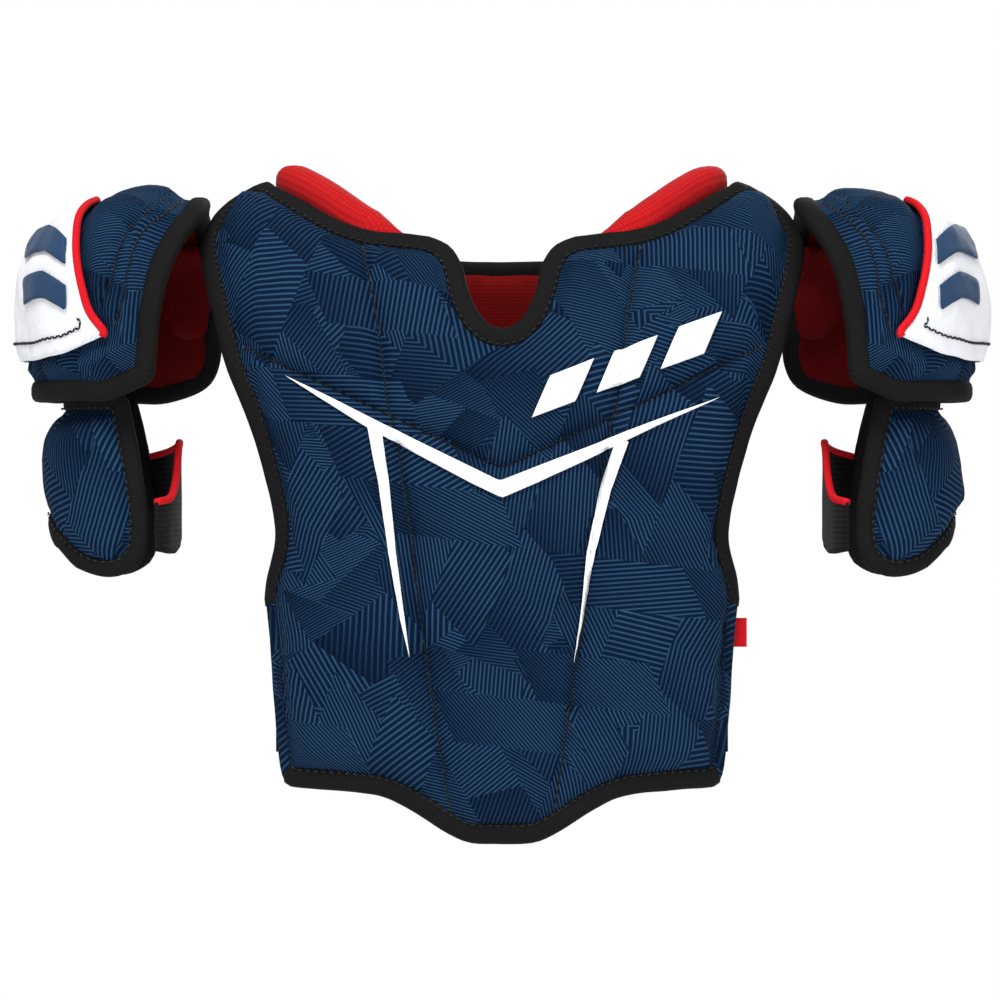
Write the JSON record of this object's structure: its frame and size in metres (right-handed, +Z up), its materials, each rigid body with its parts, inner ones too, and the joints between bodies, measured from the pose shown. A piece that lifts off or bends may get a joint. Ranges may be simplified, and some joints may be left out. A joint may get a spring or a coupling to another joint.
{
  "type": "hockey shoulder pads",
  "caption": "Youth ice-hockey shoulder pads: quilted chest and back panels, domed shoulder caps and half-pipe upper-arm guards with elastic straps.",
  "frame": {"origin": "on the wearer's shoulders, midway between them, under the shoulder ridge", "axes": "+Z up along the wearer, +X to the wearer's left, the wearer faces -Y"},
  "size_m": [0.4396, 0.1378, 0.2943],
  "materials": {
    "printed_fabric": "printed navy shell fabric, quilted",
    "spine_fabric": "plain navy shell fabric over a moulded pad",
    "red_knit": "brushed red warp knit",
    "black_liner": "brushed black knit",
    "binding": "ribbed black binding tape",
    "elastic": "woven black elastic webbing",
    "hook_tape": "hook-and-loop tape",
    "white_knit": "white ribbed knit",
    "red_piping": "red piping cord",
    "label": "folded woven tab",
    "foam": null,
    "plastic_insert": "milky polyethylene sheet"
  },
  "bodies": {
    "arm_strap_left": {"arm_hook_left": "hook_tape", "arm_strap_left": "elastic"},
    "arm_strap_right": {"arm_hook_right": "hook_tape", "arm_strap_right": "elastic"},
    "guard_left": {"arm_link_left": "elastic", "guard_binding_left": "binding", "guard_cover_left": "printed_fabric", "guard_foam_left": "foam", "guard_liner_left": "black_liner", "guard_plate_left": "plastic_insert"},
    "guard_right": {"arm_link_right": "elastic", "guard_binding_right": "binding", "guard_cover_right": "printed_fabric", "guard_foam_right": "foam", "guard_liner_right": "black_liner", "guard_plate_right": "plastic_insert"},
    "back": {"back_binding": "binding", "back_cover": "printed_fabric", "back_foam_centre": "foam", "back_foam_left": "foam", "back_foam_right": "foam", "back_liner": "red_knit", "collar_pad_left": "red_knit", "collar_pad_right": "red_knit", "spine_pad": "spine_fabric"},
    "cap_left": {"cap_binding_left": "binding", "cap_cover_left": "printed_fabric", "cap_flap_left": "red_knit", "cap_foam_left": "foam", "cap_liner_left": "red_knit", "cap_patch_left": "white_knit", "cap_piping_left": "red_piping", "cap_shell_left": "plastic_insert"},
    "cap_right": {"cap_binding_right": "binding", "cap_cover_right": "printed_fabric", "cap_flap_right": "red_knit", "cap_foam_right": "foam", "cap_liner_right": "red_knit", "cap_patch_right": "white_knit", "cap_piping_right": "red_piping", "cap_shell_right": "plastic_insert"},
    "chest": {"chest_binding": "binding", "chest_cover": "printed_fabric", "chest_foam_lower_centre": "foam", "chest_foam_lower_left": "foam", "chest_foam_lower_right": "foam", "chest_foam_upper_centre": "foam", "chest_foam_upper_left": "foam", "chest_foam_upper_right": "foam", "chest_liner": "red_knit", "neck_pad_left": "red_knit", "neck_pad_right": "red_knit", "shoulder_yoke_left": "elastic", "shoulder_yoke_right": "elastic", "side_label": "label", "sternum_plate": "plastic_insert"},
    "side_strap_left": {"side_hook_left": "hook_tape", "side_strap_left": "elastic"},
    "side_strap_right": {"side_hook_right": "hook_tape", "side_strap_right": "elastic"}
  },
  "joints": [
    {"name": "back_open", "type": "hinge", "parent": "chest", "child": "back", "pos_m": [0, 0, 0.0175], "axis": [1, 0, 0], "range_deg": [0, 50]},
    {"name": "cap_left_lift", "type": "hinge", "parent": "chest", "child": "cap_left", "pos_m": [0.1275, 0, 0.006], "axis": [0, -1, 0], "range_deg": [0, 50]},
    {"name": "guard_left_swing", "type": "hinge", "parent": "cap_left", "child": "guard_left", "pos_m": [0.19, 0, -0.0615], "axis": [1, 0, 0], "range_deg": [-12, 12]},
    {"name": "arm_strap_left_peel", "type": "hinge", "parent": "guard_left", "child": "arm_strap_left", "pos_m": [0.1534, -0.0386, -0.14], "axis": [0, 0, 1], "range_deg": [0, 45]},
    {"name": "side_strap_left_peel", "type": "hinge", "parent": "chest", "child": "side_strap_left", "pos_m": [0.0995, -0.027, -0.228], "axis": [0, 0, -1], "range_deg": [0, 80]},
    {"name": "cap_right_lift", "type": "hinge", "parent": "chest", "child": "cap_right", "pos_m": [-0.1275, 0, 0.006], "axis": [0, 1, 0], "range_deg": [0, 50]},
    {"name": "guard_right_swing", "type": "hinge", "parent": "cap_right", "child": "guard_right", "pos_m": [-0.19, 0, -0.0615], "axis": [1, 0, 0], "range_deg": [-12, 12]},
    {"name": "arm_strap_right_peel", "type": "hinge", "parent": "guard_right", "child": "arm_strap_right", "pos_m": [-0.1534, -0.0386, -0.14], "axis": [0, 0, -1], "range_deg": [0, 45]},
    {"name": "side_strap_right_peel", "type": "hinge", "parent": "chest", "child": "side_strap_right", "pos_m": [-0.0995, -0.027, -0.228], "axis": [0, 0, 1], "range_deg": [0, 80]}
  ]
}
